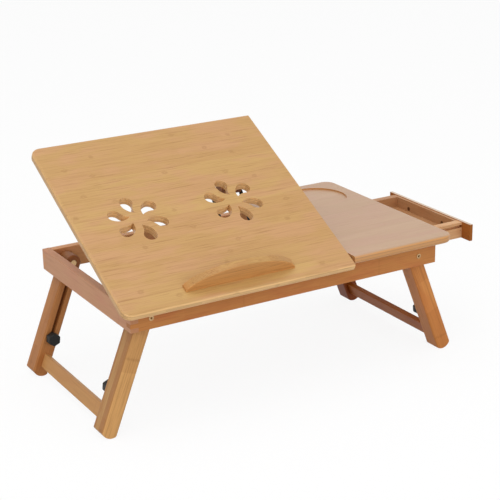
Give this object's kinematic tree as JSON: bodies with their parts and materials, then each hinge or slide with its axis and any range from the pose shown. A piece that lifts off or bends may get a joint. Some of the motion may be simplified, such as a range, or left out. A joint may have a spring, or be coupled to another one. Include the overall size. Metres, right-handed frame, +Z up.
{
  "type": "laptop stand with drawer",
  "caption": "Folding bamboo bed desk with a tilting flower-vented laptop board, arched stop, side panel over a sliding drawer, and splayed telescopic folding legs.",
  "frame": {"origin": "middle of the resting outline seen from above, on the floor", "axes": "+X along the length towards the drawer, +Y from the user to the back, +Z up"},
  "size_m": [0.6536, 0.3437, 0.3445],
  "materials": {
    "bamboo_board": "clear satin lacquer over caramel bamboo, grain along the length",
    "bamboo_panel": "clear satin lacquer over bamboo",
    "bamboo_frame": "clear satin lacquer over darker bamboo",
    "bamboo_legs": "clear satin lacquer over bamboo, grain along each piece",
    "bamboo_drawer": "clear satin lacquer over bamboo",
    "beech_dowel": "plain",
    "black_plastic": "matt",
    "black_steel": "black oxide",
    "brass": "satin",
    "steel": "zinc plated",
    "white_nylon": "matt"
  },
  "bodies": {
    "frame": {"front_rail": "bamboo_frame", "back_rail": "bamboo_frame", "left_end_board": "bamboo_frame", "side_panel": "bamboo_panel", "panel_dowels": "beech_dowel", "stop_block_near": "bamboo_frame", "stop_block_far": "bamboo_frame", "stop_block_screws": "steel", "prop_bearer_left": "bamboo_frame", "prop_bearer_right": "bamboo_frame", "drawer_guide_near": "bamboo_frame", "drawer_guide_far": "bamboo_frame", "guide_screws": "steel", "drawer_stop": "bamboo_frame", "drawer_stop_screws": "steel", "hinge_fixed_leaves": "brass", "hinge_pins": "brass", "hinge_fixed_screws": "brass", "pivot_ferrules": "brass", "pivot_bolts": "brass", "pivot_nuts": "brass", "pivot_spacers": "white_nylon"},
    "tilting_board": {"laptop_board": "bamboo_board", "laptop_stop": "bamboo_board", "laptop_stop_screws": "steel", "hinge_moving_leaves": "brass", "hinge_moving_screws": "brass", "notch_block": "bamboo_frame", "notch_block_screws": "steel"},
    "prop": {"prop_bail": "black_steel"},
    "drawer": {"drawer_front": "bamboo_drawer", "drawer_inner_front": "bamboo_drawer", "drawer_back": "bamboo_drawer", "drawer_side_near": "bamboo_drawer", "drawer_side_far": "bamboo_drawer", "drawer_bottom": "bamboo_drawer", "drawer_dowels": "beech_dowel", "drawer_screws": "steel"},
    "upper_legs_left": {"upper_slat_near_left": "bamboo_legs", "upper_slat_far_left": "bamboo_legs", "clamp_bolts_left": "black_steel"},
    "lower_legs_left": {"lower_leg_near_left": "bamboo_legs", "lower_leg_far_left": "bamboo_legs", "stretcher_left": "bamboo_legs", "stretcher_dowels_left": "beech_dowel"},
    "knob_near_left": {"clamp_knob_near_left": "black_plastic"},
    "knob_far_left": {"clamp_knob_far_left": "black_plastic"},
    "upper_legs_right": {"upper_slat_near_right": "bamboo_legs", "upper_slat_far_right": "bamboo_legs", "clamp_bolts_right": "black_steel"},
    "lower_legs_right": {"lower_leg_near_right": "bamboo_legs", "lower_leg_far_right": "bamboo_legs", "stretcher_right": "bamboo_legs", "stretcher_dowels_right": "beech_dowel"},
    "knob_near_right": {"clamp_knob_near_right": "black_plastic"},
    "knob_far_right": {"clamp_knob_far_right": "black_plastic"}
  },
  "joints": [
    {"name": "board_tilt", "type": "hinge", "parent": "frame", "child": "tilting_board", "pos_m": [-0.11769, -0.15099, 0.18473], "axis": [1, 0, 0], "range_deg": [-28, 4]},
    {"name": "prop_swing", "type": "hinge", "parent": "frame", "child": "prop", "pos_m": [-0.02919, -0.03099, 0.16433], "axis": [1, 0, 0], "range_deg": [-56, 8]},
    {"name": "drawer_slide", "type": "slide", "parent": "frame", "child": "drawer", "axis": [1, 0, 0], "range_m": [-0.096, 0.008]},
    {"name": "legs_fold_left", "type": "hinge", "parent": "frame", "child": "upper_legs_left", "pos_m": [-0.25194, -0.00249, 0.16833], "axis": [0, 1, 0], "range_deg": [-111.5, 0]},
    {"name": "legs_extend_left", "type": "slide", "parent": "upper_legs_left", "child": "lower_legs_left", "axis": [-0.3665, 0, -0.9304], "range_m": [0, 0.08]},
    {"name": "knob_turn_near_left", "type": "hinge", "parent": "upper_legs_left", "child": "knob_near_left", "pos_m": [-0.29519, -0.10819, 0.05854], "axis": [0, 1, 0], "range_deg": [0, 180]},
    {"name": "knob_turn_far_left", "type": "hinge", "parent": "upper_legs_left", "child": "knob_far_left", "pos_m": [-0.29519, 0.10321, 0.05854], "axis": [0, -1, 0], "range_deg": [0, 180]},
    {"name": "legs_fold_right", "type": "hinge", "parent": "frame", "child": "upper_legs_right", "pos_m": [0.19356, -0.00249, 0.16833], "axis": [0, -1, 0], "range_deg": [-111.5, 0]},
    {"name": "legs_extend_right", "type": "slide", "parent": "upper_legs_right", "child": "lower_legs_right", "axis": [0.3665, 0, -0.9304], "range_m": [0, 0.08]},
    {"name": "knob_turn_near_right", "type": "hinge", "parent": "upper_legs_right", "child": "knob_near_right", "pos_m": [0.2368, -0.10819, 0.05854], "axis": [0, 1, 0], "range_deg": [0, 180]},
    {"name": "knob_turn_far_right", "type": "hinge", "parent": "upper_legs_right", "child": "knob_far_right", "pos_m": [0.2368, 0.10321, 0.05854], "axis": [0, -1, 0], "range_deg": [0, 180]}
  ],
  "couplings": [
    {"joint": "prop_swing", "follows": "board_tilt", "ratio": 2}
  ]
}
